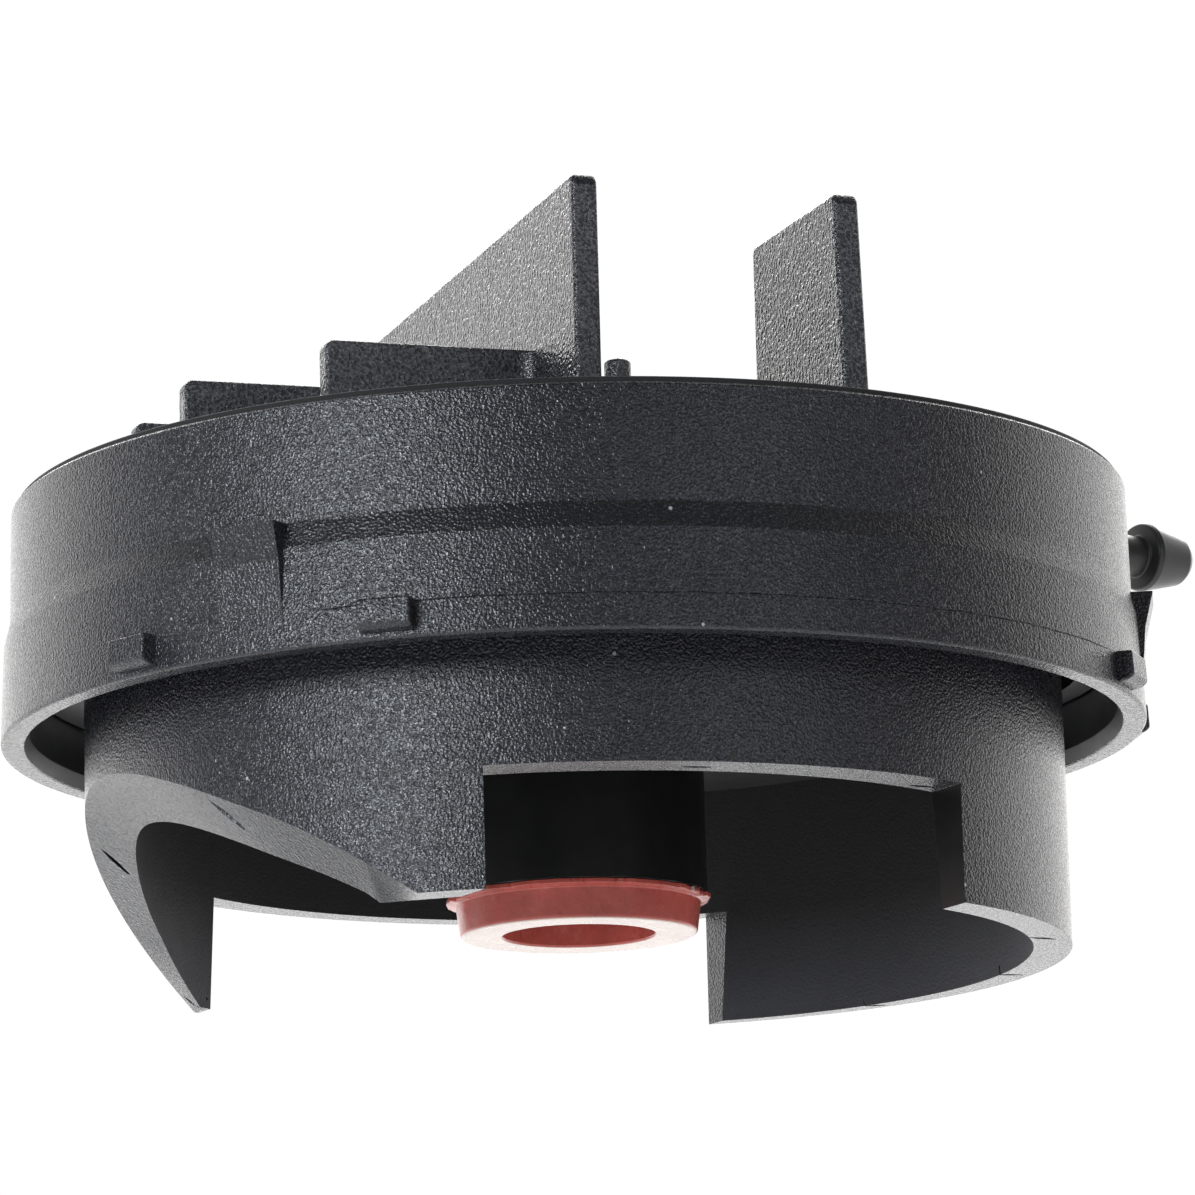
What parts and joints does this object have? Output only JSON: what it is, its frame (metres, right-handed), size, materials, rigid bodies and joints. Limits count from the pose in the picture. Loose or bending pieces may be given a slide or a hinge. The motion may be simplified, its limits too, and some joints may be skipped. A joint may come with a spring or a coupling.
{
  "type": "aquarium wave maker pump head",
  "caption": "Black pump head of an aquarium wave maker: shroud ring with a notched coupling skirt, red hub seal, inner impeller and slotted grille with ribs, plates and an air nipple.",
  "frame": {"origin": "middle of the underside of the whole part, at the skirt's lower edge", "axes": "+Z along the impeller's shaft from the coupling skirt towards the grille's plates, +X towards the side with the air nipple, -Y towards the front"},
  "size_m": [0.1199, 0.1106, 0.0664],
  "materials": {
    "casing_black": "spark-eroded grain, charcoal black",
    "tube_black": "smooth satin, deep black",
    "seal_red": "satin brick-red rubber",
    "stainless_steel": "turned stainless steel",
    "bush_ceramic": "ground alumina",
    "ring_rubber": "matt black rubber",
    "impeller_grey": "smooth moulded dark grey"
  },
  "bodies": {
    "casing": {"shroud_ring": "casing_black", "deck_plate": "casing_black", "coupling_skirt": "casing_black", "hub_tube": "tube_black", "shaft_seal": "seal_red", "lower_bush": "bush_ceramic", "upper_bush": "bush_ceramic", "thrust_washer": "stainless_steel", "intake_grille": "casing_black", "air_nipple": "casing_black", "nipple_seal": "ring_rubber", "deck_seal": "ring_rubber", "grille_screw_1": "stainless_steel", "grille_screw_2": "stainless_steel", "grille_screw_3": "stainless_steel", "grille_screw_4": "stainless_steel", "tube_screw_1": "stainless_steel", "tube_screw_2": "stainless_steel", "tube_screw_3": "stainless_steel", "skirt_screw_1": "stainless_steel", "skirt_screw_2": "stainless_steel", "skirt_screw_3": "stainless_steel", "skirt_screw_4": "stainless_steel"},
    "rotor": {"drive_shaft": "stainless_steel", "drive_coupling": "impeller_grey", "coupling_pin": "stainless_steel", "impeller": "impeller_grey", "shaft_circlip": "stainless_steel"}
  },
  "joints": [
    {"name": "impeller_spin", "type": "hinge", "parent": "casing", "child": "rotor", "pos_m": [-0.00547, -0.00033, 0.03038], "axis": [0, 0, 1], "continuous": true}
  ]
}
